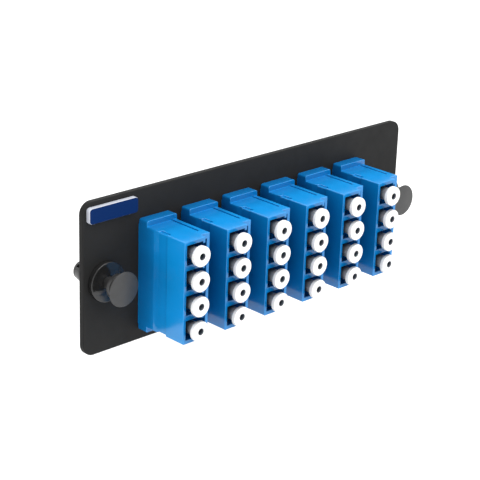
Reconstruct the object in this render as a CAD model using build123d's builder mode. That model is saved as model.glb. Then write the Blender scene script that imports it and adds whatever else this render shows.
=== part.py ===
from build123d import *
import os

# Fibre adapter panel, in millimetres.
# The origin is the centre of the plate's rear face. The ports face -Y, the rear
# faces +Y and +Z is up. XZ sketch planes are offset towards the front.

# Plate
panel_width = 109.2
panel_height = 38.25
panel_thickness = 1.5
panel_corner_radius = 3.0
panel_edge_radius = 0.2

# Label plate, blank, near the top left corner
label_width = 14.3
label_height = 3.8
label_thickness = 1.2
label_corner_radius = 0.8
label_edge_radius = 0.15
label_side_margin = 1.1
label_top_margin = 1.2

# Adapter row. The end distance runs from each end of the plate to the middle of
# the adapter next to it.
adapter_count = 6
row_end_distance = 21.35
row_drop = 2.25

# Adapter body
body_width = 9.3
body_height = 25.6
body_corner_radius = 0.3
half_length = 14.65
flange_overhang = 1.4
flange_thickness = 2.9
flange_corner_radius = 0.5
cutout_clearance = 0.15

# Ports
port_count = 4
port_end_margin = 0.3
port_size = 4.9
port_side_wall = 0.77

# Port frame, which stands out in front of the latch side
frame_width = 6.4
frame_step = 1.7

# Latch slots to the right of the ports
latch_wall = 0.93
latch_notch_height = 3.9
latch_slot_depth = 3.4
latch_catch_height = 2.4
latch_catch_thickness = 1.2
latch_pocket_depth = 5.0

# Recess in the left side of the front shell, and the groove along its edges
recess_start = 2.45
recess_ramp = 1.45
recess_width = 3.15
recess_depth = 0.45
notch_width = 1.25
notch_depth = 0.65
rail_width = 1.25
groove_width = 0.5
groove_depth = 0.4
groove_end_margin = 2.4

# Split sleeves and the barrels that hold them
sleeve_length = 6.8
sleeve_outer_diameter = 1.6
sleeve_inner_diameter = 1.25
sleeve_slit = 0.25
sleeve_end_gap = 0.1
sleeve_side_gap = 0.05
barrel_wall = 0.35
barrel_lip = 0.5
ferrule_hole_diameter = 1.35

# Retaining clip, bent from thin spring steel
clip_thickness = 0.3
clip_length = 7.0
clip_start = 0.6
clip_open_edge = 1.5
tongue_width = 4.4
tongue_window_gap = 0.3
tongue_drop = 0.25
tongue_root = 1.0
tongue_tip_gap = 0.15

# Dust caps
cap_disc_diameter = 5.0
cap_disc_thickness = 1.1
cap_disc_stand_off = 1.5
cap_disc_edge_radius = 0.2
cap_stem_diameter = 3.3
cap_hole_diameter = 1.7
cap_bore_depth = 5.0
cap_bore_clearance = 0.05
cap_web_gap = 0.2

# Push-pull fasteners, each placed from its own end of the plate
left_fastener_distance = 6.3
right_fastener_distance = 5.0
fastener_drop = 1.05
fastener_hole_clearance = 0.1
grommet_flange_diameter = 9.9
grommet_flange_thickness = 1.5
grommet_flange_radius = 0.2
grommet_neck_diameter = 6.5
grommet_barrel_diameter = 5.8
grommet_barrel_length = 4.4
grommet_nose_diameter = 5.0
grommet_nose_length = 2.1
grommet_slit_width = 0.8
grommet_slit_start = 0.8
shaft_diameter = 3.0
shaft_clearance = 0.08
knob_diameter = 8.5
knob_rim = 0.5
knob_rim_chamfer = 0.15
knob_neck_diameter = 4.6
knob_neck_length = 1.1
knob_skirt_diameter = 6.6
knob_skirt_length = 1.35
knob_stand_off = 2.7
tip_diameter = 4.6
tip_length = 0.8
tip_gap = 0.15
tip_chamfer = 0.25

# Places worked out from the sizes above. A name that ends in _at is a distance
# in front of the plate's rear face.
half_width = body_width / 2
half_height = body_height / 2
adapter_pitch = (panel_width - 2 * row_end_distance) / (adapter_count - 1)
port_pitch = (body_height - 2 * port_end_margin) / port_count
flange_height = body_height + 2 * flange_overhang
tongue_rise = flange_overhang - tongue_drop
flange_front_at = panel_thickness + flange_thickness
seam_at = panel_thickness + flange_thickness / 2
frame_front_at = seam_at + half_length
latch_front_at = frame_front_at - frame_step
port_x = -half_width + port_side_wall + port_size / 2
port_heights = [port_pitch * ((port_count - 1) / 2 - i) for i in range(port_count)]
port_spots = [(port_x, height) for height in port_heights]
frame_right = -half_width + frame_width
latch_left = port_x + port_size / 2
latch_right = half_width - latch_wall
latch_slot_half = (max(port_heights) - min(port_heights) + latch_notch_height) / 2
catch_at = latch_front_at - latch_slot_depth
pocket_at = catch_at - latch_catch_thickness
barrel_bore_diameter = sleeve_outer_diameter + 2 * sleeve_side_gap
barrel_diameter = barrel_bore_diameter + 2 * barrel_wall
sleeve_pocket_at = seam_at + sleeve_length / 2 + sleeve_end_gap
barrel_front_at = sleeve_pocket_at + barrel_lip
cap_tip_at = flange_front_at + cap_web_gap
cap_disc_at = frame_front_at + cap_disc_stand_off
grommet_front_at = panel_thickness + grommet_flange_thickness
skirt_back_at = grommet_front_at + knob_stand_off
skirt_front_at = skirt_back_at + knob_skirt_length
rim_back_at = skirt_front_at + knob_neck_length
knob_front_at = rim_back_at + knob_rim
grommet_end = grommet_barrel_length + grommet_nose_length
tip_start = grommet_end + tip_gap
adapter_places = [
    ((i - (adapter_count - 1) / 2) * adapter_pitch, 0, -row_drop)
    for i in range(adapter_count)
]
fastener_places = {
    "left": (left_fastener_distance - panel_width / 2, 0, -fastener_drop),
    "right": (panel_width / 2 - right_fastener_distance, 0, -fastener_drop),
}


def span(left, right, low, high, mode=Mode.ADD):
    """Draw the rectangle from left to right and from low to high."""
    with Locations(((left + right) / 2, (low + high) / 2)):
        Rectangle(right - left, high - low, mode=mode)


def cut(left, right, low, high, back_at, front_at):
    """Cut a straight-sided hole between two distances in front of the rear face."""
    with BuildSketch(Plane.XZ.offset(back_at)) as opening:
        span(left, right, low, high)
    extrude(opening.sketch, amount=front_at - back_at, mode=Mode.SUBTRACT)


def turned(points):
    """Revolve a closed outline of (radius, y) points about the Y axis."""
    with BuildSketch() as outline:
        with BuildLine():
            Polyline(*points, close=True)
        make_face()
    revolve(outline.sketch, axis=Axis.Y)


def hand_in(solid, name, places=((0, 0, 0),)):
    """Place copies of a finished solid, label them as one node and write it."""
    with BuildPart() as placed:
        with Locations(*places):
            add(solid)
    placed.part.label = name
    export_step(placed.part, f"parts/{name}.step")


# Plate: sheet with rounded corners, adapter cut-outs and fastener holes
with BuildPart() as panel:
    with BuildSketch(Plane.XZ):
        RectangleRounded(panel_width, panel_height, panel_corner_radius)
    extrude(amount=panel_thickness)
    fillet(panel.faces().filter_by(Axis.Y).edges(), panel_edge_radius)
    with BuildSketch(Plane.XZ):
        with Locations(*((x, z) for x, y, z in adapter_places)):
            Rectangle(body_width + 2 * cutout_clearance, body_height + 2 * cutout_clearance)
        with Locations(*((x, z) for x, y, z in fastener_places.values())):
            Circle(grommet_neck_diameter / 2 + fastener_hole_clearance)
    extrude(amount=panel_thickness, mode=Mode.SUBTRACT)

# Label plate: small rounded bar fixed to the front
label_x = -panel_width / 2 + label_side_margin + label_width / 2
label_z = panel_height / 2 - label_top_margin - label_height / 2
with BuildPart() as label_plate:
    with BuildSketch(Plane.XZ.offset(panel_thickness)):
        with Locations((label_x, label_z)):
            RectangleRounded(label_width, label_height, label_corner_radius)
    extrude(amount=label_thickness)
    fillet(label_plate.faces().sort_by(Axis.Y)[0].edges(), label_edge_radius)

# What both moulded halves of an adapter share, as the front half
with BuildPart() as half_shell:
    with BuildSketch(Plane.XZ.offset(seam_at)):
        RectangleRounded(body_width, body_height, body_corner_radius)
    extrude(amount=half_length)
    with BuildSketch(Plane.XZ.offset(seam_at)):
        RectangleRounded(body_width, flange_height, flange_corner_radius)
    extrude(amount=flange_thickness / 2)
    cut(frame_right, half_width, -half_height, half_height, latch_front_at, frame_front_at)
    # ports, down to the web in the plane of the flange's front
    port_left = port_x - port_size / 2
    for height in port_heights:
        low = height - port_size / 2
        cut(port_left, latch_left, low, low + port_size, flange_front_at, frame_front_at)
    # slot for the latches behind the right wall, open at the front
    cut(frame_right, latch_right, -latch_slot_half, latch_slot_half, catch_at, latch_front_at)
    notch = latch_notch_height / 2
    catch = latch_catch_height / 2
    for height in port_heights:
        low, high = height - notch, height + notch
        cut(latch_left, frame_right, low, high, catch_at, frame_front_at)
        cut(latch_left, latch_right, height - catch, height + catch, pocket_at, catch_at)
        cut(latch_left, latch_right, low, high, pocket_at - latch_pocket_depth, pocket_at)
    # barrels on the web, each with a pocket for half of a split sleeve
    with BuildSketch(Plane.XZ.offset(seam_at)):
        with Locations(*port_spots):
            Circle(barrel_diameter / 2)
    extrude(amount=barrel_front_at - seam_at)
    with BuildSketch(Plane.XZ.offset(seam_at)):
        with Locations(*port_spots):
            Circle(barrel_bore_diameter / 2)
    extrude(amount=sleeve_pocket_at - seam_at, mode=Mode.SUBTRACT)
    with BuildSketch(Plane.XZ.offset(sleeve_pocket_at)):
        with Locations(*port_spots):
            Circle(ferrule_hole_diameter / 2)
    extrude(amount=barrel_lip, mode=Mode.SUBTRACT)

# Front half: ramped recess on the left, notched edges and a groove on each end
recess_at = flange_front_at + recess_start
recess_floor_at = recess_at + recess_ramp
recess_front_at = recess_floor_at + recess_width
groove_front_at = latch_front_at - groove_end_margin
with BuildPart() as front_shell:
    add(half_shell.part)
    with BuildSketch():
        with BuildLine():
            Polyline(
                (-half_width, -recess_at),
                (-half_width + recess_depth, -recess_floor_at),
                (-half_width + recess_depth, -recess_front_at),
                (-half_width, -recess_front_at),
                close=True,
            )
        make_face()
    extrude(amount=half_height, both=True, mode=Mode.SUBTRACT)
    notch_right = -half_width + notch_width
    groove_right = half_width - rail_width
    groove_left = groove_right - groove_width
    for side in (-1, 1):
        low, high = sorted((side * half_height, side * (half_height - notch_depth)))
        cut(-half_width, notch_right, low, high, recess_floor_at, recess_front_at)
        low, high = sorted((side * half_height, side * (half_height - groove_depth)))
        cut(groove_left, groove_right, low, high, flange_front_at, groove_front_at)

# Rear half: mirror image of the front one, with a seat for the clip
clip_end = clip_start + clip_length


def clip_band():
    """Draw the clip's outline: a U that is open at the left."""
    RectangleRounded(body_width, body_height, body_corner_radius)
    inner_height = half_height - clip_thickness
    span(-half_width, half_width - clip_thickness, -inner_height, inner_height, Mode.SUBTRACT)
    span(-half_width, -half_width + clip_open_edge, -half_height, half_height, Mode.SUBTRACT)


with BuildPart() as rear_shell:
    mirror(half_shell.part, about=Plane.XZ.offset(seam_at))
    with BuildSketch(Plane.XZ.offset(-clip_end)):
        clip_band()
    extrude(amount=clip_length, mode=Mode.SUBTRACT)

# Clip: U-shaped band with a spring tongue at the top and one at the bottom
tongue_x = clip_open_edge / 2
window_left = tongue_x - tongue_width / 2 - tongue_window_gap
window_right = tongue_x + tongue_width / 2 + tongue_window_gap
root_y = clip_end - tongue_root
with BuildPart() as clip:
    with BuildSketch(Plane.XZ.offset(-clip_end)):
        clip_band()
    extrude(amount=clip_length)
    for side in (-1, 1):
        low, high = sorted((side * half_height, side * (half_height - clip_thickness)))
        cut(window_left, window_right, low, high, -root_y, -clip_start)
        with BuildSketch(Plane.YZ.offset(tongue_x)):
            with BuildLine():
                Polyline(
                    (root_y, side * (half_height - clip_thickness)),
                    (root_y, side * half_height),
                    (tongue_tip_gap, side * (half_height + tongue_rise)),
                    (tongue_tip_gap, side * (half_height + tongue_rise - clip_thickness)),
                    close=True,
                )
            make_face()
        extrude(amount=tongue_width / 2, both=True)

# Split sleeve: ceramic tube with a slit along one side
with BuildPart() as sleeve:
    with BuildSketch(Plane.XZ.offset(seam_at - sleeve_length / 2)):
        Circle(sleeve_outer_diameter / 2)
        Circle(sleeve_inner_diameter / 2, mode=Mode.SUBTRACT)
        span(0, sleeve_outer_diameter, -sleeve_slit / 2, sleeve_slit / 2, Mode.SUBTRACT)
    extrude(amount=sleeve_length)

# Dust cap: disc with a hole, on a hollow stem that slips over the barrel
cap_bore_radius = barrel_diameter / 2 + cap_bore_clearance
cap_front_at = cap_disc_at + cap_disc_thickness
with BuildPart() as dust_cap:
    turned(
        [
            (cap_hole_diameter / 2, -cap_front_at),
            (cap_disc_diameter / 2, -cap_front_at),
            (cap_disc_diameter / 2, -cap_disc_at),
            (cap_stem_diameter / 2, -cap_disc_at),
            (cap_stem_diameter / 2, -cap_tip_at),
            (cap_bore_radius, -cap_tip_at),
            (cap_bore_radius, -cap_tip_at - cap_bore_depth),
            (cap_hole_diameter / 2, -cap_tip_at - cap_bore_depth),
        ]
    )
    front_edges = dust_cap.edges().group_by(Axis.Y)[0]
    fillet(front_edges.sort_by(SortBy.RADIUS)[-1], cap_disc_edge_radius)
with BuildPart() as rear_cap:
    mirror(dust_cap.part, about=Plane.XZ.offset(seam_at))

# Grommet: flange in front of the plate, neck in its hole, and four slit legs
grommet_bore_radius = shaft_diameter / 2 + shaft_clearance
with BuildPart() as grommet:
    turned(
        [
            (grommet_bore_radius, -grommet_front_at),
            (grommet_flange_diameter / 2, -grommet_front_at),
            (grommet_flange_diameter / 2, -panel_thickness),
            (grommet_neck_diameter / 2, -panel_thickness),
            (grommet_neck_diameter / 2, 0),
            (grommet_barrel_diameter / 2, 0),
            (grommet_barrel_diameter / 2, grommet_barrel_length),
            (grommet_nose_diameter / 2, grommet_end),
            (grommet_bore_radius, grommet_end),
        ]
    )
    front_edges = grommet.edges().group_by(Axis.Y)[0]
    fillet(front_edges.sort_by(SortBy.RADIUS)[-1], grommet_flange_radius)
    with BuildSketch(Plane.XZ.offset(-grommet_end)) as slits:
        for angle in (45, -45):
            Rectangle(2 * grommet_barrel_diameter, grommet_slit_width, rotation=angle)
    extrude(slits.sketch, amount=grommet_end - grommet_slit_start, mode=Mode.SUBTRACT)

# Plunger: knob with an undercut rim and a skirt, shaft, and a tip behind the legs
with BuildPart() as plunger:
    turned(
        [
            (0, -knob_front_at),
            (knob_diameter / 2, -knob_front_at),
            (knob_diameter / 2, -rim_back_at),
            (knob_neck_diameter / 2, -rim_back_at),
            (knob_neck_diameter / 2, -skirt_front_at),
            (knob_skirt_diameter / 2, -skirt_front_at),
            (knob_skirt_diameter / 2, -skirt_back_at),
            (shaft_diameter / 2, -skirt_back_at),
            (shaft_diameter / 2, tip_start),
            (tip_diameter / 2, tip_start),
            (tip_diameter / 2, tip_start + tip_length),
            (0, tip_start + tip_length),
        ]
    )
    chamfer(plunger.faces().sort_by(Axis.Y)[0].edges(), knob_rim_chamfer)
    chamfer(plunger.faces().sort_by(Axis.Y)[-1].edges(), tip_chamfer)

# Hand in the pieces
os.makedirs("parts", exist_ok=True)
hand_in(panel.part, "panel")
hand_in(label_plate.part, "label_plate")
for side, place in fastener_places.items():
    hand_in(grommet.part, f"grommet_{side}", [place])
    hand_in(plunger.part, f"plunger_{side}", [place])
for number, place in enumerate(adapter_places, start=1):
    x, y, z = place
    port_places = [(x + port_x, y, z + height) for height in port_heights]
    hand_in(front_shell.part, f"adapter_{number}_front_shell", [place])
    hand_in(rear_shell.part, f"adapter_{number}_rear_shell", [place])
    hand_in(clip.part, f"adapter_{number}_clip", [place])
    hand_in(sleeve.part, f"adapter_{number}_sleeves", port_places)
    hand_in(rear_cap.part, f"adapter_{number}_rear_caps", port_places)
    for port, port_place in enumerate(port_places, start=1):
        hand_in(dust_cap.part, f"dust_cap_{number}_{port}", [port_place])
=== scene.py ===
import math

import bmesh
import bpy
from mathutils import Matrix, Vector


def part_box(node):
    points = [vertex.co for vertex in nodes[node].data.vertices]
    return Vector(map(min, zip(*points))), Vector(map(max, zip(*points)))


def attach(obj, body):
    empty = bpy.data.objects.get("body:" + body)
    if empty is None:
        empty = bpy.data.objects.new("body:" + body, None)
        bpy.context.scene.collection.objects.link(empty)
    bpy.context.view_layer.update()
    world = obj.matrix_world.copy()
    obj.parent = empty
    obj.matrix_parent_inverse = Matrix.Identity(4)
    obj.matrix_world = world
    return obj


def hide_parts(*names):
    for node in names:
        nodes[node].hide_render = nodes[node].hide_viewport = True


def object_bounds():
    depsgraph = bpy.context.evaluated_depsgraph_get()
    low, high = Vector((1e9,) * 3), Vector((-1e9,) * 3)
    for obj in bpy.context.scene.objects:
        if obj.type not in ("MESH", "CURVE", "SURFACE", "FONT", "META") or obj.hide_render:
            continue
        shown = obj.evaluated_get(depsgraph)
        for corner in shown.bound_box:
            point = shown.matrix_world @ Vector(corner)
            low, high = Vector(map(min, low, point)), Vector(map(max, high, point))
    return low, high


# Fibre adapter panel, in metres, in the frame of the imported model. The origin is
# the centre of the plate's rear face, the ports face -Y and +Z is up.

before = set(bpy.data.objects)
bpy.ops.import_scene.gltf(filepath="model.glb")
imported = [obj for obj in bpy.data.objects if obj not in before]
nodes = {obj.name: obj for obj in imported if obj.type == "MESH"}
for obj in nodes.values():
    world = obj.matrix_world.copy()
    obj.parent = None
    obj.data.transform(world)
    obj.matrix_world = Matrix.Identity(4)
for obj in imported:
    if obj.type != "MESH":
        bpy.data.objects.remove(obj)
cad_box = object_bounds()

MM = 0.001
PANEL_BODY = "panel_assembly"

# Camera, as in the photograph
camera_place = Vector((-255.979, -257.627, 135.275)) * MM
camera_azimuth = math.radians(-44.460)
camera_elevation = math.radians(20.871)
camera_roll = math.radians(1.882)
camera_lens = 114.68
camera_sensor = 36.0
camera_nearest = 0.01

# Stage and light
floor_drop = 30 * MM
floor_size = 3.0
floor_white = 0.78
floor_roughness = 0.7
floor_glow = 0.12
sky_horizon = 1.0
sky_zenith = 1.70
key_light = {"place": (0.05, -0.50, 0.65), "size": 0.60, "power": 4.0}

# Rounded edges of the moulded and bent pieces. An edge that bends less than the
# least bend stays as it is.
shell_edge = 0.10 * MM
clip_edge = 0.04 * MM
grommet_edge = 0.05 * MM
edge_steps = 2
least_bend = math.radians(30)
flat_within = math.radians(1)
flat_face_pull = 80

# Turned pieces
turned_steps = 72
turned_corner_steps = 4
turned_least_bend = math.radians(40)

# Points that lie nearer to each other than this are one point
same_point = 0.001 * MM

# Recess and notches in the left side of the front shell. The share is how deep
# they are shown beside the solid's.
recess_depth = 0.45 * MM
recess_ramp = 1.45 * MM
recess_share = 0.72
notch_width = 1.25 * MM
notch_depth = 0.65 * MM
notch_share = 0.45

# Below its start and above its end a pattern of noise counts as even
pattern_start = 0.3
pattern_end = 0.7

# Painted shade: share of the colour that is left at each openness, which darkens the ports, the cap
# bores and the gaps between the adapters.
# It is bluer there, a painted reflection of the light that the blue plastic throws in. Openness is
# looked for up to the reach, and what stands nearer than the own edge doesn't count.
openness_rays = 12
own_edge = 0.5 * MM
blue_reach = 10 * MM
blue_painted_shades = (
    (0.00, (0.10, 0.20, 0.33)),
    (0.35, (0.40, 0.49, 0.60)),
    (0.60, (0.50, 0.57, 0.63)),
    (0.78, (0.61, 0.66, 0.72)),
    (0.90, (0.82, 0.85, 0.89)),
    (1.00, (1.00, 1.00, 1.00)),
)
# Painted shade on the caps' stems and bores, a little bluer deep in the ports
cap_reach = 3 * MM
cap_painted_shades = (
    (0.00, (0.050, 0.056, 0.066)),
    (0.30, (0.055, 0.074, 0.105)),
    (0.55, (0.240, 0.252, 0.280)),
    (0.80, (0.590, 0.595, 0.610)),
    (1.00, (1.000, 1.000, 1.000)),
)

# Share of the coat's colour left on the plate's cut edges, a painted shade, and how squarely a
# place faces front or back where it counts as edge or as face
edge_painted_shade_share = 0.80
edge_facing = 0.3
face_facing = 0.95

# Dust cap: the disc in front of a stem with a bore in its end
cap_disc_thickness = 1.1 * MM
cap_stem_radius = 1.65 * MM
cap_hole_radius = 0.85 * MM
cap_bore_radius = 1.25 * MM
cap_bore_depth = 5.0 * MM

# Plunger: a knob with a rim, neck and skirt, and a tip at the other end of the shaft
knob_rim = 0.5 * MM
knob_rim_edge = 0.2 * MM
knob_rim_back_radius = 2.6 * MM
knob_neck_radius = 2.3 * MM
knob_neck_length = 1.1 * MM
knob_skirt_radius = 3.15 * MM
knob_skirt_length = 1.15 * MM
shaft_radius = 1.5 * MM
tip_radius = 2.3 * MM
tip_length = 0.8 * MM

# Label's face
label_face_inset = 0.08 * MM
label_face_thickness = 0.04 * MM
label_face_seat = 0.01 * MM
label_corner_radius = 0.72 * MM
label_corner_steps = 10


def corner_of(node):
    """The lowest corner of a CAD node's box."""
    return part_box(node)[0]


# Rows of adapters and ports
port_count = 4
adapter_names = sorted(
    node.removesuffix("_front_shell") for node in nodes if node.endswith("_front_shell")
)
adapter_count = len(adapter_names)
adapter_pitch = corner_of("adapter_2_front_shell").x - corner_of("adapter_1_front_shell").x
port_pitch = corner_of("dust_cap_1_1").z - corner_of("dust_cap_1_2").z
fastener_pitch = corner_of("grommet_right").x - corner_of("grommet_left").x


def shader_input(material, name):
    """The socket of this name on a material's shader."""
    return material.node_tree.nodes["Principled BSDF"].inputs[name]


def finish_of(name, colour, roughness, **constants):
    """A new material with these constants on its shader."""
    material = bpy.data.materials.new(name)
    material.use_nodes = True
    shader_input(material, "Base Color").default_value = (*colour, 1.0)
    shader_input(material, "Roughness").default_value = roughness
    for socket, value in constants.items():
        shader_input(material, socket.replace("_", " ")).default_value = value
    return material


def noise_on(material, size, detail=2.0, stretch=(1, 1, 1)):
    """Noise over the object's own coordinates, with features of about this size in metres."""
    tree = material.node_tree
    coordinates = tree.nodes.new("ShaderNodeTexCoord")
    mapping = tree.nodes.new("ShaderNodeMapping")
    mapping.inputs["Scale"].default_value = stretch
    noise = tree.nodes.new("ShaderNodeTexNoise")
    noise.inputs["Scale"].default_value = 1 / size
    noise.inputs["Detail"].default_value = detail
    tree.links.new(coordinates.outputs["Object"], mapping.inputs["Vector"])
    tree.links.new(mapping.outputs["Vector"], noise.inputs["Vector"])
    return noise.outputs["Fac"]


def ramp_of(material, pattern, stops):
    """Colour along a pattern, from stops of (place, colour)."""
    tree = material.node_tree
    ramp = tree.nodes.new("ShaderNodeValToRGB")
    made = ramp.color_ramp.elements
    for i, (place, colour) in enumerate(stops):
        stop = made[i] if i < len(made) else made.new(place)
        stop.position = place
        stop.color = (*colour, 1.0)
    tree.links.new(pattern, ramp.inputs["Fac"])
    return ramp.outputs["Color"]


def tint(material, pattern, dark, light):
    """Colour that runs from dark to light over a pattern."""
    colour = ramp_of(material, pattern, ((pattern_start, dark), (pattern_end, light)))
    material.node_tree.links.new(colour, shader_input(material, "Base Color"))


def polish(material, pattern, smooth, rough):
    """Roughness that runs from smooth to rough over a pattern."""
    tree = material.node_tree
    spread = tree.nodes.new("ShaderNodeMapRange")
    spread.inputs["From Min"].default_value = pattern_start
    spread.inputs["From Max"].default_value = pattern_end
    spread.inputs["To Min"].default_value = smooth
    spread.inputs["To Max"].default_value = rough
    tree.links.new(pattern, spread.inputs["Value"])
    tree.links.new(spread.outputs["Result"], shader_input(material, "Roughness"))


def grain(material, *layers):
    """Fine relief from layers of (pattern, height in metres)."""
    tree = material.node_tree
    last = None
    for pattern, height in layers:
        bump = tree.nodes.new("ShaderNodeBump")
        bump.inputs["Strength"].default_value = 1.0
        bump.inputs["Distance"].default_value = height
        tree.links.new(pattern, bump.inputs["Height"])
        if last is not None:
            tree.links.new(last, bump.inputs["Normal"])
        last = bump.outputs["Normal"]
    tree.links.new(last, shader_input(material, "Normal"))


def keep_share(material, share):
    """Keep only this share, a socket, of the colour that the material has so far."""
    tree = material.node_tree
    base = shader_input(material, "Base Color")
    kept = tree.nodes.new("ShaderNodeMix")
    kept.data_type = "RGBA"
    kept.blend_type = "MULTIPLY"
    kept.inputs["Factor"].default_value = 1.0
    tree.links.new(base.links[0].from_socket, kept.inputs["A"])
    tree.links.new(share, kept.inputs["B"])
    tree.links.new(kept.outputs["Result"], base)


def openness(material, reach):
    """How much light gets in past what stands within the reach."""
    node = material.node_tree.nodes.new("ShaderNodeAmbientOcclusion")
    node.samples = openness_rays
    node.inputs["Distance"].default_value = reach
    return node.outputs["AO"]


def paint_hollow_shade(material, reach, shades):
    """Painted shade: darken the colour where walls stand between the own edge and the reach.

    The shades are (openness, share of the colour that is left), from closed to open, and are
    painted shade.
    """
    tree = material.node_tree
    hollow = tree.nodes.new("ShaderNodeMath")
    hollow.operation = "DIVIDE"
    hollow.use_clamp = True
    tree.links.new(openness(material, reach), hollow.inputs[0])
    tree.links.new(openness(material, own_edge), hollow.inputs[1])
    keep_share(material, ramp_of(material, hollow.outputs["Value"], shades))


def paint_edge_shade(material, edge_shade_share):
    """Painted shade: less of the colour on the plate's cut edges, the faces that turn away from
    front and back.
    """
    tree = material.node_tree
    coordinates = tree.nodes.new("ShaderNodeTexCoord")
    direction = tree.nodes.new("ShaderNodeSeparateXYZ")
    facing = tree.nodes.new("ShaderNodeMath")
    facing.operation = "ABSOLUTE"
    share = tree.nodes.new("ShaderNodeMapRange")
    share.inputs["From Min"].default_value = edge_facing
    share.inputs["From Max"].default_value = face_facing
    share.inputs["To Min"].default_value = edge_shade_share
    tree.links.new(coordinates.outputs["Normal"], direction.inputs["Vector"])
    tree.links.new(direction.outputs["Y"], facing.inputs[0])
    tree.links.new(facing.outputs["Value"], share.inputs["Value"])
    keep_share(material, share.outputs["Result"])


def powder_coat():
    """Matt black powder coat with a fine orange peel."""
    material = finish_of("powder_coat", (0.014, 0.014, 0.014), 0.55, Specular_IOR_Level=0.10)
    patches = noise_on(material, 9 * MM)
    pores = noise_on(material, 0.30 * MM, detail=3)
    orange_peel = noise_on(material, 0.9 * MM)
    tint(material, patches, dark=(0.0130, 0.0130, 0.0130), light=(0.0154, 0.0154, 0.0154))
    # Painted shade on the plate's cut edges
    paint_edge_shade(material, edge_painted_shade_share)
    polish(material, noise_on(material, 2.5 * MM), smooth=0.50, rough=0.60)
    grain(material, (pores, 0.006 * MM), (orange_peel, 0.008 * MM))
    return material


def blue_plastic():
    """Glossy blue moulded plastic with faint flow marks."""
    material = finish_of("blue_plastic", (0.004, 0.20, 0.52), 0.14, IOR=1.5)
    flow = noise_on(material, 5 * MM, stretch=(1, 0.3, 1))
    tool_marks = noise_on(material, 0.16 * MM, detail=3)
    sinks = noise_on(material, 2.2 * MM)
    tint(material, flow, dark=(0.0030, 0.22, 0.55), light=(0.0040, 0.24, 0.61))
    # Painted shade in the ports and between the adapters, bluer as a painted reflection of the blue
    # plastic
    paint_hollow_shade(material, blue_reach, blue_painted_shades)
    polish(material, noise_on(material, 1.6 * MM), smooth=0.11, rough=0.17)
    grain(material, (tool_marks, 0.0008 * MM), (sinks, 0.004 * MM))
    return material


def cap_plastic():
    """Soft white plastic that light enters a little."""
    material = finish_of(
        "cap_plastic", (0.80, 0.80, 0.79), 0.38, Subsurface_Weight=0.05, Subsurface_Scale=0.3 * MM
    )
    clouds = noise_on(material, 1.5 * MM)
    tint(material, clouds, dark=(0.74, 0.74, 0.735), light=(0.77, 0.77, 0.765))
    # Painted shade on the stems and in the bores
    paint_hollow_shade(material, cap_reach, cap_painted_shades)
    polish(material, noise_on(material, 0.7 * MM), smooth=0.34, rough=0.44)
    grain(material, (noise_on(material, 0.12 * MM, detail=3), 0.0015 * MM))
    return material


def knob_nylon():
    """Dark nylon with a fine moulded grain."""
    material = finish_of("knob_nylon", (0.024, 0.024, 0.024), 0.38)
    clouds = noise_on(material, 2.0 * MM)
    tint(material, clouds, dark=(0.021, 0.021, 0.021), light=(0.026, 0.026, 0.026))
    polish(material, noise_on(material, 0.8 * MM), smooth=0.30, rough=0.40)
    grain(material, (noise_on(material, 0.14 * MM, detail=3), 0.002 * MM))
    return material


def grommet_nylon():
    """Shiny black nylon."""
    material = finish_of("grommet_nylon", (0.012, 0.012, 0.012), 0.13)
    clouds = noise_on(material, 2.0 * MM)
    tint(material, clouds, dark=(0.010, 0.010, 0.010), light=(0.015, 0.015, 0.015))
    polish(material, noise_on(material, 0.9 * MM), smooth=0.10, rough=0.17)
    grain(material, (noise_on(material, 0.5 * MM), 0.0012 * MM))
    return material


def clip_steel():
    """Spring steel with rolling marks along the strip."""
    material = finish_of("clip_steel", (0.60, 0.60, 0.58), 0.28, Metallic=1.0)
    rolled = noise_on(material, 0.12 * MM, detail=3, stretch=(1, 0.06, 1))
    tint(material, rolled, dark=(0.56, 0.56, 0.54), light=(0.64, 0.64, 0.62))
    polish(material, rolled, smooth=0.26, rough=0.34)
    grain(material, (rolled, 0.0003 * MM))
    return material


def sleeve_ceramic():
    """White ground ceramic."""
    material = finish_of("sleeve_ceramic", (0.82, 0.82, 0.79), 0.18, IOR=2.1)
    clouds = noise_on(material, 0.8 * MM)
    grinding = noise_on(material, 0.05 * MM, stretch=(1, 0.2, 1))
    tint(material, clouds, dark=(0.80, 0.80, 0.77), light=(0.84, 0.84, 0.81))
    grain(material, (grinding, 0.0004 * MM))
    return material


def label_plastic():
    """White acrylic of the label's edge."""
    material = finish_of("label_plastic", (0.36, 0.39, 0.46), 0.35)
    clouds = noise_on(material, 1.5 * MM)
    tint(material, clouds, dark=(0.44, 0.46, 0.52), light=(0.48, 0.50, 0.56))
    grain(material, (noise_on(material, 0.2 * MM), 0.001 * MM))
    return material


def label_print():
    """Dark blue print under a thin clear film."""
    material = finish_of("label_print", (0.002, 0.020, 0.095), 0.55, Specular_IOR_Level=0.06)
    ink = noise_on(material, 0.25 * MM, detail=3)
    tint(material, ink, dark=(0.0010, 0.014, 0.076), light=(0.0014, 0.018, 0.086))
    grain(material, (noise_on(material, 1.2 * MM), 0.002 * MM))
    return material


finishes = {
    "panel_coat": powder_coat(),
    "adapter_plastic": blue_plastic(),
    "cap_plastic": cap_plastic(),
    "fastener_nylon": knob_nylon(),
    "clip_steel": clip_steel(),
    "sleeve_ceramic": sleeve_ceramic(),
    "label_plastic": label_plastic(),
}
grommet_finish = grommet_nylon()
print_finish = label_print()


def give_finish(thing, material):
    """Make this the only material of an object."""
    thing.data.materials.clear()
    thing.data.materials.append(material)


def new_thing(name, data):
    """An object of this mesh, light or camera, at the origin."""
    thing = bpy.data.objects.new(name, data)
    bpy.context.scene.collection.objects.link(thing)
    return thing


def mesh_of(name, work):
    """The mesh of what has been worked, which ends the work on it."""
    mesh = bpy.data.meshes.new(name)
    work.to_mesh(mesh)
    work.free()
    return mesh


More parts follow.
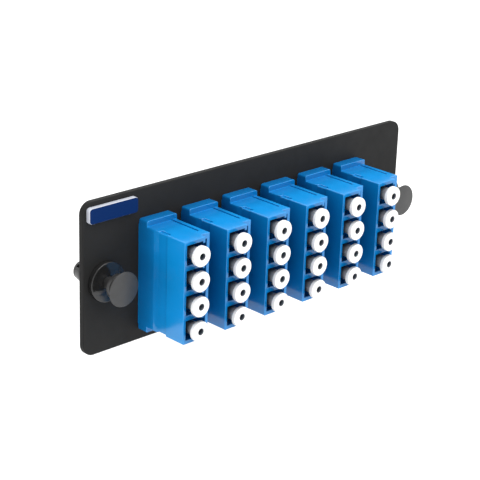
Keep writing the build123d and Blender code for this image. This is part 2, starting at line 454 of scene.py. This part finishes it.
def plain_mesh(thing, name):
    """The object's mesh with its modifiers worked in."""
    view = bpy.context.evaluated_depsgraph_get()
    mesh = bpy.data.meshes.new_from_object(
        thing.evaluated_get(view), preserve_all_data_layers=True, depsgraph=view
    )
    mesh.name = name
    return mesh


def ease_recess(work):
    """Bring the floors of the recess and notches nearer to the sides they are cut from."""
    left = min(vert.co.x for vert in work.verts)
    floor_at = left + recess_depth
    recess_floor = {vert for vert in work.verts if abs(vert.co.x - floor_at) < same_point}
    ramp_start = max(vert.co.y for vert in recess_floor)
    ramp_end = ramp_start + recess_ramp
    nose_heights = [vert.co.z for vert in work.verts if vert.co.y < ramp_start]
    for vert in work.verts:
        if vert.co.x < left + notch_width + same_point:
            for side in (max(nose_heights), min(nose_heights)):
                if abs(abs(vert.co.z - side) - notch_depth) < same_point:
                    vert.co.z = side + (vert.co.z - side) * notch_share
        on_ramp = ramp_start < vert.co.y < ramp_end and vert.co.x < floor_at
        if vert in recess_floor or on_ramp:
            vert.co.x = left + (vert.co.x - left) * recess_share


def moulded(node, edge, joint_at=None, reshape=None):
    """A copy of a CAD node's mesh, merged, with its outward edges rounded.

    Edges in the plane y = joint_at, where it meets another piece, stay sharp.
    """
    mesh = nodes[node].data.copy()
    work = bmesh.new()
    work.from_mesh(mesh)
    bmesh.ops.remove_doubles(work, verts=work.verts, dist=same_point)
    bmesh.ops.dissolve_limit(
        work, angle_limit=flat_within, use_dissolve_boundaries=False,
        verts=work.verts, edges=work.edges,
    )
    if reshape:
        reshape(work)
    for face in work.faces:
        face.smooth = True
    rounding = work.edges.layers.float.new("bevel_weight_edge")
    for line in work.edges:
        bend = line.calc_face_angle_signed(0)
        at_joint = joint_at is not None and all(
            abs(vert.co.y - joint_at) < same_point for vert in line.verts
        )
        line.smooth = abs(bend) < least_bend
        line[rounding] = 1.0 if bend > least_bend and not at_joint else 0.0
    work.to_mesh(mesh)
    work.free()
    thing = new_thing(f"{node}_edges", mesh)
    bevel = thing.modifiers.new("Edge", "BEVEL")
    bevel.width = edge
    bevel.segments = edge_steps
    bevel.limit_method = "WEIGHT"
    bevel.use_clamp_overlap = False
    flat = thing.modifiers.new("Flat faces", "WEIGHTED_NORMAL")
    flat.keep_sharp = True
    flat.weight = flat_face_pull
    rounded = plain_mesh(thing, f"{node}_rounded")
    bpy.data.objects.remove(thing)
    return rounded


def rounded_profile(points):
    """The closed (radius, y) line through points of (radius, y, corner radius)."""
    line = []
    for i, (r, y, corner) in enumerate(points):
        here = Vector((r, y))
        if corner <= 0:
            line.append(here)
            continue
        before = (Vector(points[i - 1][:2]) - here).normalized()
        after = (Vector(points[(i + 1) % len(points)][:2]) - here).normalized()
        half = before.angle(after) / 2
        start = here + before * corner / math.tan(half)
        end = here + after * corner / math.tan(half)
        centre = here + (before + after).normalized() * corner / math.sin(half)
        for step in range(turned_corner_steps + 1):
            towards = (start - centre).slerp(end - centre, step / turned_corner_steps)
            line.append(centre + towards.normalized() * corner)
    return line


def turned(name, points):
    """A closed mesh turned about the Y axis from a closed profile.

    A point on the axis is a single one, where the faces are triangles.
    """
    turns = [math.tau * step / turned_steps for step in range(turned_steps)]
    work = bmesh.new()
    rings = []
    for r, y in rounded_profile(points):
        if r > 0:
            rings.append([work.verts.new((r * math.cos(a), y, r * math.sin(a))) for a in turns])
        else:
            rings.append([work.verts.new((0, y, 0))] * turned_steps)
    for ring, following in zip(rings, rings[1:] + rings[:1]):
        for step in range(turned_steps):
            corners = (ring[step], following[step], following[step - 1], ring[step - 1])
            corners = list(dict.fromkeys(corners))
            if len(corners) > 2:
                work.faces.new(corners)
    bmesh.ops.recalc_face_normals(work, faces=work.faces)
    for face in work.faces:
        face.smooth = True
    mesh = mesh_of(name, work)
    mesh.set_sharp_from_angle(angle=turned_least_bend)
    return mesh


def rows_tree():
    """Geometry Nodes that set copies of a piece in columns along X and rows down Z."""
    tree = bpy.data.node_groups.new("Rows of a piece", "GeometryNodeTree")
    sockets = (
        ("Geometry", "NodeSocketGeometry", None),
        ("Columns", "NodeSocketInt", 1),
        ("Column pitch", "NodeSocketFloat", 0.0),
        ("Rows", "NodeSocketInt", 1),
        ("Row pitch", "NodeSocketFloat", 0.0),
        ("First place", "NodeSocketVector", (0, 0, 0)),
        ("Finish", "NodeSocketMaterial", None),
    )
    for name, kind, value in sockets:
        socket = tree.interface.new_socket(name, in_out="INPUT", socket_type=kind)
        if value is not None:
            socket.default_value = value
    tree.interface.new_socket("Geometry", in_out="OUTPUT", socket_type="NodeSocketGeometry")
    given = tree.nodes.new("NodeGroupInput")
    made = tree.nodes.new("NodeGroupOutput")

    def across(pitch, axis):
        vector = tree.nodes.new("ShaderNodeCombineXYZ")
        tree.links.new(pitch, vector.inputs[axis])
        return vector.outputs["Vector"]

    down = tree.nodes.new("ShaderNodeMath")
    down.operation = "MULTIPLY"
    down.inputs[1].default_value = -1
    tree.links.new(given.outputs["Row pitch"], down.inputs[0])

    columns = tree.nodes.new("GeometryNodeMeshLine")
    tree.links.new(given.outputs["Columns"], columns.inputs["Count"])
    tree.links.new(given.outputs["First place"], columns.inputs["Start Location"])
    tree.links.new(across(given.outputs["Column pitch"], "X"), columns.inputs["Offset"])
    rows = tree.nodes.new("GeometryNodeMeshLine")
    tree.links.new(given.outputs["Rows"], rows.inputs["Count"])
    tree.links.new(across(down.outputs["Value"], "Z"), rows.inputs["Offset"])

    column_copies = tree.nodes.new("GeometryNodeInstanceOnPoints")
    tree.links.new(rows.outputs["Mesh"], column_copies.inputs["Points"])
    tree.links.new(given.outputs["Geometry"], column_copies.inputs["Instance"])
    row_copies = tree.nodes.new("GeometryNodeInstanceOnPoints")
    tree.links.new(columns.outputs["Mesh"], row_copies.inputs["Points"])
    tree.links.new(column_copies.outputs["Instances"], row_copies.inputs["Instance"])
    realize = tree.nodes.new("GeometryNodeRealizeInstances")
    tree.links.new(row_copies.outputs["Instances"], realize.inputs["Geometry"])
    finish = tree.nodes.new("GeometryNodeSetMaterial")
    tree.links.new(realize.outputs["Geometry"], finish.inputs["Geometry"])
    tree.links.new(given.outputs["Finish"], finish.inputs["Material"])
    tree.links.new(finish.outputs["Geometry"], made.inputs["Geometry"])
    return tree


piece_rows = rows_tree()


def in_rows(name, mesh, body, slot, replaced, finish=None, **inputs):
    """Set a mesh out in rows as one plain piece that rides on a body and stands for CAD nodes."""
    finish = finish or finishes[slot]
    pattern = new_thing(f"{name}_pattern", mesh)
    modifier = pattern.modifiers.new("Rows", "NODES")
    modifier.node_group = piece_rows
    values = {socket.replace("_", " "): value for socket, value in inputs.items()}
    values["Finish"] = finish
    for socket in piece_rows.interface.items_tree:
        if socket.in_out == "INPUT" and socket.name in values:
            modifier[socket.identifier] = values[socket.name]
    piece = new_thing(name, plain_mesh(pattern, name))
    bpy.data.objects.remove(pattern)
    give_finish(piece, finish)
    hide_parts(*replaced)
    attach(piece, body)


def adapter_parts(ending):
    """The CAD nodes of one kind, one in each adapter."""
    return [f"{name}_{ending}" for name in adapter_names]


def front_place(node):
    """The middle of the front of a CAD node's box."""
    low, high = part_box(node)
    middle = (low + high) / 2
    return middle.x, low.y, middle.z


# Shells and clips: rounded copies of the first adapter's, set along the row. The
# two shells of an adapter are welded together at the seam.
seam_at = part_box("adapter_1_front_shell")[1].y
for ending, edge, joint_at, reshape, slot in (
    ("front_shell", shell_edge, seam_at, ease_recess, "adapter_plastic"),
    ("rear_shell", shell_edge, seam_at, None, "adapter_plastic"),
    ("clip", clip_edge, None, None, "clip_steel"),
):
    in_rows(
        f"{ending}s", moulded(f"adapter_1_{ending}", edge, joint_at, reshape), PANEL_BODY, slot,
        adapter_parts(ending), Columns=adapter_count, Column_pitch=adapter_pitch,
    )

# Grommets: rounded copies of the left one
in_rows(
    "grommets", moulded("grommet_left", grommet_edge), PANEL_BODY, "fastener_nylon",
    ["grommet_left", "grommet_right"], grommet_finish, Columns=2, Column_pitch=fastener_pitch,
)

# Dust caps: a turned disc and hollow stem, its front at y = 0
cap_low, cap_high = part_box("dust_cap_1_1")
cap_disc_radius = (cap_high.x - cap_low.x) / 2
cap_length = cap_high.y - cap_low.y
cap_bore_end = cap_length - cap_bore_depth
cap = turned(
    "dust_cap",
    [
        (cap_hole_radius, 0, 0.06 * MM),
        (cap_disc_radius, 0, 0.20 * MM),
        (cap_disc_radius, cap_disc_thickness, 0.10 * MM),
        (cap_stem_radius, cap_disc_thickness, 0.08 * MM),
        (cap_stem_radius, cap_length, 0.10 * MM),
        (cap_bore_radius, cap_length, 0.06 * MM),
        (cap_bore_radius, cap_bore_end, 0),
        (cap_hole_radius, cap_bore_end, 0),
    ],
)
for adapter in range(1, adapter_count + 1):
    for port in range(1, port_count + 1):
        cap_node = f"dust_cap_{adapter}_{port}"
        in_rows(
            f"cap_{adapter}_{port}", cap, f"cap_{adapter}_{port}_body", "cap_plastic", [cap_node],
            First_place=front_place(cap_node),
        )

# Rear dust caps: the same cap turned to face the rear, in every rear port
rear_cap = cap.copy()
rear_cap.transform(Matrix.Rotation(math.pi, 4, "Z"))
rear_low, rear_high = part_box("adapter_1_rear_caps")
in_rows(
    "rear_dust_caps", rear_cap, PANEL_BODY, "cap_plastic", adapter_parts("rear_caps"),
    Columns=adapter_count, Column_pitch=adapter_pitch, Rows=port_count, Row_pitch=port_pitch,
    First_place=((rear_low.x + rear_high.x) / 2, rear_high.y, rear_high.z - cap_disc_radius),
)

# Plungers: knob with an undercut rim and a skirt, on a shaft with a tip
knob_low, knob_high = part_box("plunger_left")
knob_radius = (knob_high.x - knob_low.x) / 2
knob_length = knob_high.y - knob_low.y
skirt_front = knob_rim + knob_neck_length
skirt_back = skirt_front + knob_skirt_length
tip_front = knob_length - tip_length
knob = turned(
    "plunger",
    [
        (0, 0, 0),
        (knob_radius, 0, 0.10 * MM),
        (knob_radius, knob_rim_edge, 0.04 * MM),
        (knob_rim_back_radius, knob_rim, 0.06 * MM),
        (knob_neck_radius, knob_rim, 0.06 * MM),
        (knob_neck_radius, skirt_front, 0.06 * MM),
        (knob_skirt_radius, skirt_front, 0.10 * MM),
        (knob_skirt_radius, skirt_back, 0.12 * MM),
        (shaft_radius, skirt_back, 0.10 * MM),
        (shaft_radius, tip_front, 0.06 * MM),
        (tip_radius, tip_front, 0.08 * MM),
        (tip_radius, knob_length, 0.25 * MM),
        (0, knob_length, 0),
    ],
)
for side in ("left", "right"):
    plunger_node = f"plunger_{side}"
    in_rows(
        f"knob_{side}", knob, f"{plunger_node}_body", "fastener_nylon", [plunger_node],
        First_place=front_place(plunger_node),
    )


def label_face():
    """The label's dark blue face: a thin film with rounded corners."""
    low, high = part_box("label_plate")
    left, right = low.x + label_face_inset, high.x - label_face_inset
    bottom, top = low.z + label_face_inset, high.z - label_face_inset
    radius = label_corner_radius
    corners = (
        (right - radius, top - radius, 0),
        (left + radius, top - radius, 90),
        (left + radius, bottom + radius, 180),
        (right - radius, bottom + radius, 270),
    )
    outline = []
    for centre_x, centre_z, start in corners:
        for step in range(label_corner_steps + 1):
            turn = math.radians(start + 90 * step / label_corner_steps)
            outline.append((centre_x + radius * math.cos(turn), centre_z + radius * math.sin(turn)))
    work = bmesh.new()
    back = [work.verts.new((x, low.y + label_face_seat, z)) for x, z in outline]
    front = [work.verts.new((x, low.y - label_face_thickness, z)) for x, z in outline]
    work.faces.new(back)
    work.faces.new(reversed(front))
    for i in range(len(outline)):
        work.faces.new((back[i - 1], back[i], front[i], front[i - 1]))
    bmesh.ops.recalc_face_normals(work, faces=work.faces)
    piece = new_thing("label_face", mesh_of("label_face", work))
    give_finish(piece, print_finish)
    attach(piece, PANEL_BODY)


label_face()

# CAD nodes that stay as they are get their finish
give_finish(nodes["panel"], finishes["panel_coat"])
give_finish(nodes["label_plate"], finishes["label_plastic"])
for node in adapter_parts("sleeves"):
    give_finish(nodes[node], finishes["sleeve_ceramic"])


def floor():
    """A plain pale floor."""
    half = floor_size / 2
    low = cad_box[0].z - floor_drop
    mesh = bpy.data.meshes.new("floor")
    corners = [(-half, -half, low), (half, -half, low), (half, half, low), (-half, half, low)]
    mesh.from_pydata(corners, [], [(0, 1, 2, 3)])
    thing = new_thing("floor", mesh)
    paint = finish_of(
        "floor_paint", (floor_white, floor_white, floor_white), floor_roughness,
        Emission_Color=(1, 1, 1, 1), Emission_Strength=floor_glow,
    )
    give_finish(thing, paint)


def sky():
    """White light from all round, stronger from above."""
    world = bpy.data.worlds.new("studio")
    world.use_nodes = True
    tree = world.node_tree
    background = tree.nodes["Background"]
    background.inputs["Color"].default_value = (1, 1, 1, 1)
    coordinates = tree.nodes.new("ShaderNodeTexCoord")
    direction = tree.nodes.new("ShaderNodeSeparateXYZ")
    strength = tree.nodes.new("ShaderNodeMapRange")
    strength.inputs["To Min"].default_value = sky_horizon
    strength.inputs["To Max"].default_value = sky_zenith
    tree.links.new(coordinates.outputs["Generated"], direction.inputs["Vector"])
    tree.links.new(direction.outputs["Z"], strength.inputs["Value"])
    tree.links.new(strength.outputs["Result"], background.inputs["Strength"])
    bpy.context.scene.world = world


def soft_light(name, place, size, power):
    """A square soft light that faces the panel."""
    light = bpy.data.lights.new(name, "AREA")
    light.size = size
    light.energy = power
    thing = new_thing(name, light)
    thing.location = place
    thing.rotation_euler = (-Vector(place)).to_track_quat("-Z", "Y").to_euler()


def camera():
    """The camera at the photograph's angle."""
    forward = Vector((
        -math.sin(camera_azimuth) * math.cos(camera_elevation),
        math.cos(camera_azimuth) * math.cos(camera_elevation),
        -math.sin(camera_elevation),
    ))
    level = forward.cross(Vector((0, 0, 1))).normalized()
    upright = level.cross(forward)
    right = level * math.cos(camera_roll) + upright * math.sin(camera_roll)
    up = upright * math.cos(camera_roll) - level * math.sin(camera_roll)
    turn = Matrix((right, up, -forward)).transposed().to_4x4()
    data = bpy.data.cameras.new("camera")
    data.lens = camera_lens
    data.sensor_width = camera_sensor
    data.clip_start = camera_nearest
    thing = new_thing("camera", data)
    thing.matrix_world = Matrix.Translation(camera_place) @ turn
    bpy.context.scene.camera = thing


floor()
sky()
soft_light("key", **key_light)
camera()
bpy.context.scene.view_settings.view_transform = "Standard"
